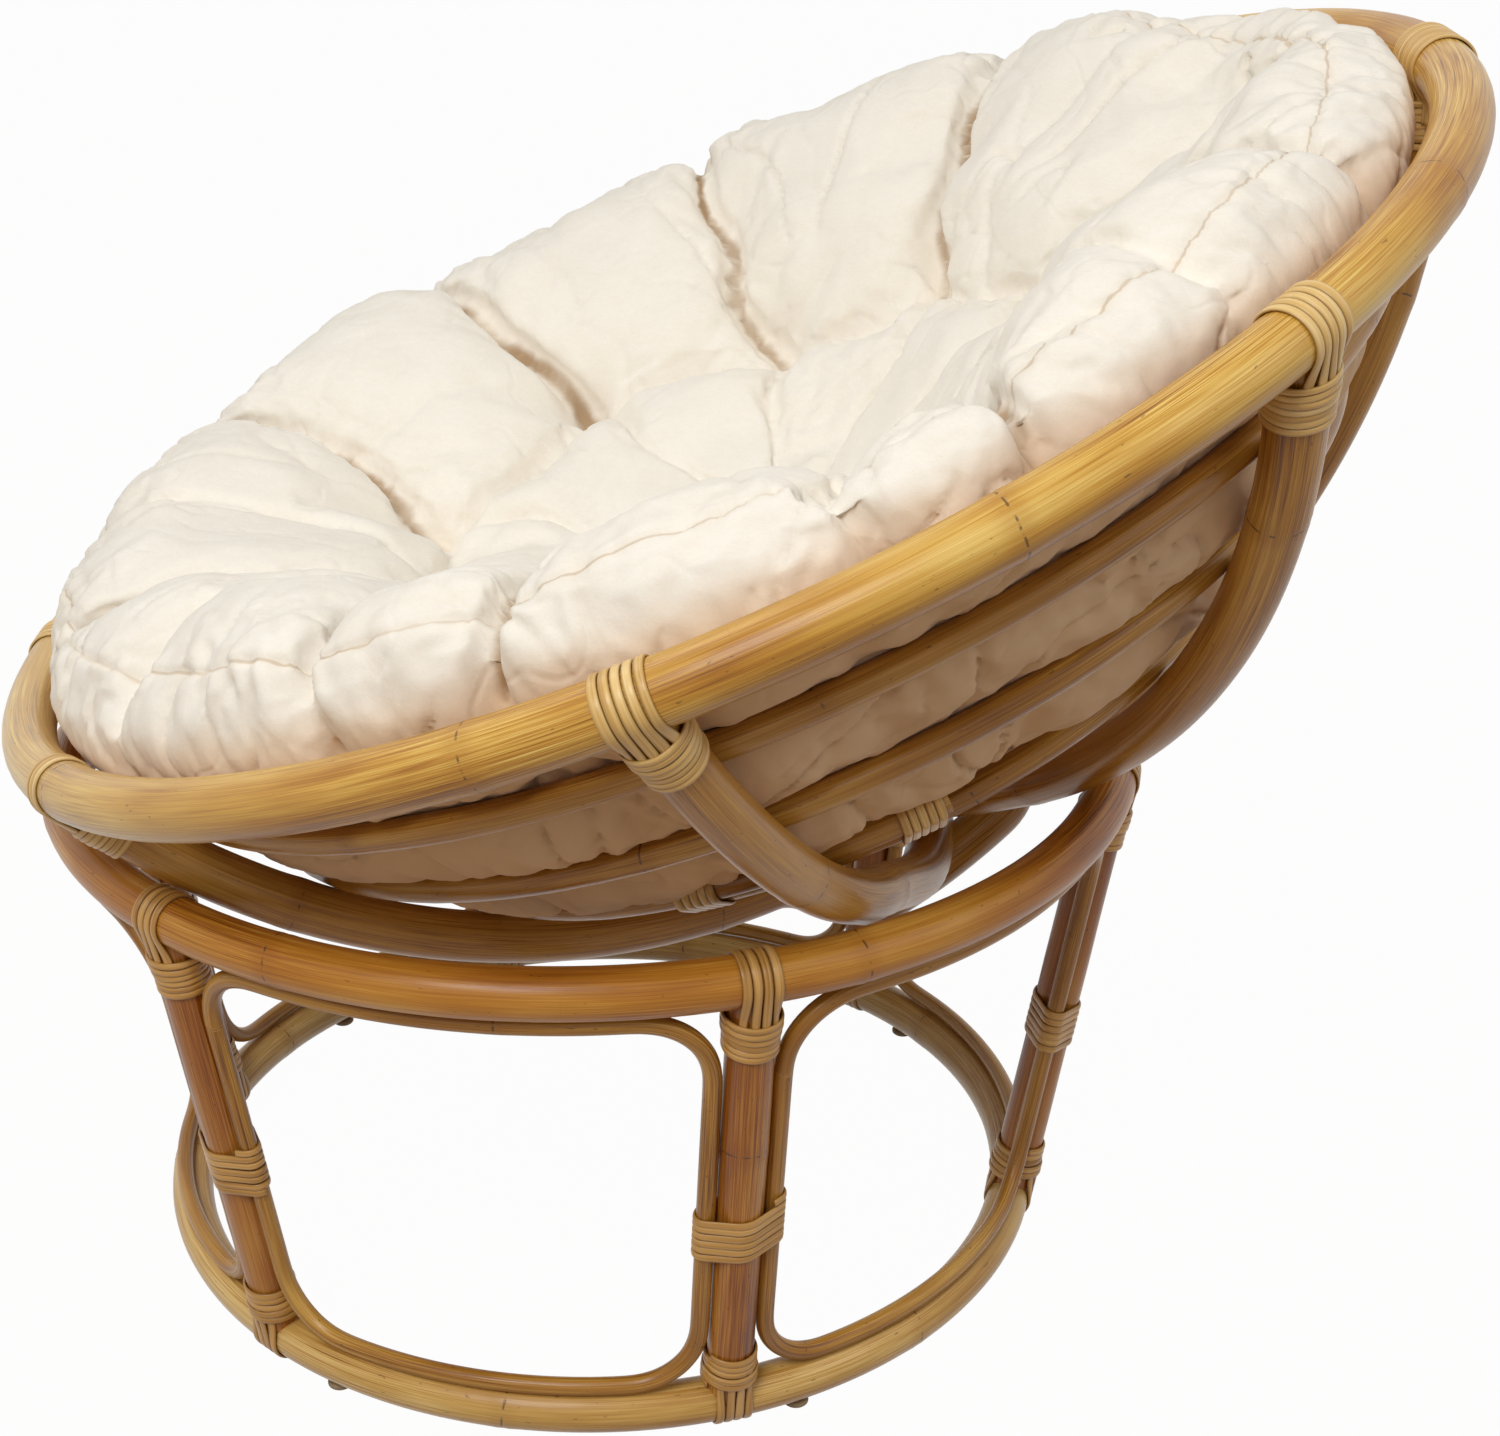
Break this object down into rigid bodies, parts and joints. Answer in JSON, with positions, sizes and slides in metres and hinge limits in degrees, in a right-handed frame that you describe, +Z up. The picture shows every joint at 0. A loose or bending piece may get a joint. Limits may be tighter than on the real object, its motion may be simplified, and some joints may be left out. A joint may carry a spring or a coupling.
{
  "type": "papasan chair",
  "caption": "Round bowl-shaped lounge chair of bent cane poles: a lashed ring base carries a loose tilted bowl with a thick round cushion.",
  "frame": {"origin": "on the floor, under the middle of the whole chair's box", "axes": "+Z up, +Y towards the chair's back (the raised side of the bowl), +X to the side"},
  "size_m": [1.0678, 0.9898, 0.8854],
  "materials": {
    "cane_pole": "satin lacquered, reddish honey",
    "thin_cane": "satin lacquered",
    "cane_peel": "flat strips of cane skin, satin",
    "glide_cap": "matt",
    "cushion_cloth": "plain cream cotton, soft"
  },
  "bodies": {
    "base": {"upper_ring": "cane_pole", "lower_ring": "cane_pole", "post_1": "cane_pole", "panel_hoop_1": "thin_cane", "mid_binding_1": "cane_peel", "head_lashing_1": "cane_peel", "foot_lashing_1": "cane_peel", "post_2": "cane_pole", "panel_hoop_2": "thin_cane", "mid_binding_2": "cane_peel", "head_lashing_2": "cane_peel", "foot_lashing_2": "cane_peel", "post_3": "cane_pole", "panel_hoop_3": "thin_cane", "mid_binding_3": "cane_peel", "head_lashing_3": "cane_peel", "foot_lashing_3": "cane_peel", "post_4": "cane_pole", "panel_hoop_4": "thin_cane", "mid_binding_4": "cane_peel", "head_lashing_4": "cane_peel", "foot_lashing_4": "cane_peel", "post_5": "cane_pole", "panel_hoop_5": "thin_cane", "mid_binding_5": "cane_peel", "head_lashing_5": "cane_peel", "foot_lashing_5": "cane_peel", "post_6": "cane_pole", "panel_hoop_6": "thin_cane", "mid_binding_6": "cane_peel", "head_lashing_6": "cane_peel", "foot_lashing_6": "cane_peel", "glide_1": "glide_cap", "glide_2": "glide_cap", "glide_3": "glide_cap", "glide_4": "glide_cap"},
    "bowl": {"rim": "cane_pole", "rib_a": "cane_pole", "rib_b": "cane_pole", "rib_c": "cane_pole", "rib_d": "cane_pole", "bowl_hoop_1": "thin_cane", "bowl_hoop_2": "thin_cane", "bowl_hoop_3": "thin_cane", "rib_a_lashing_1": "cane_peel", "rib_a_lashing_2": "cane_peel", "rib_b_lashing_1": "cane_peel", "rib_b_lashing_2": "cane_peel", "rib_c_lashing_1": "cane_peel", "rib_c_lashing_2": "cane_peel", "rib_d_lashing_1": "cane_peel", "rib_d_lashing_2": "cane_peel", "hoop_splice_1": "cane_peel", "hoop_splice_2": "cane_peel"},
    "cushion": {"cushion": "cushion_cloth"}
  },
  "joints": [
    {"name": "bowl_tilt", "type": "hinge", "parent": "base", "child": "bowl", "pos_m": [-0.00011, -0.08097, 0.83182], "axis": [1, 0, 0], "range_deg": [-23.3, 1]},
    {"name": "cushion_lift", "type": "slide", "parent": "bowl", "child": "cushion", "axis": [0, -0.3963, 0.9181], "range_m": [0, 0.6]}
  ]
}
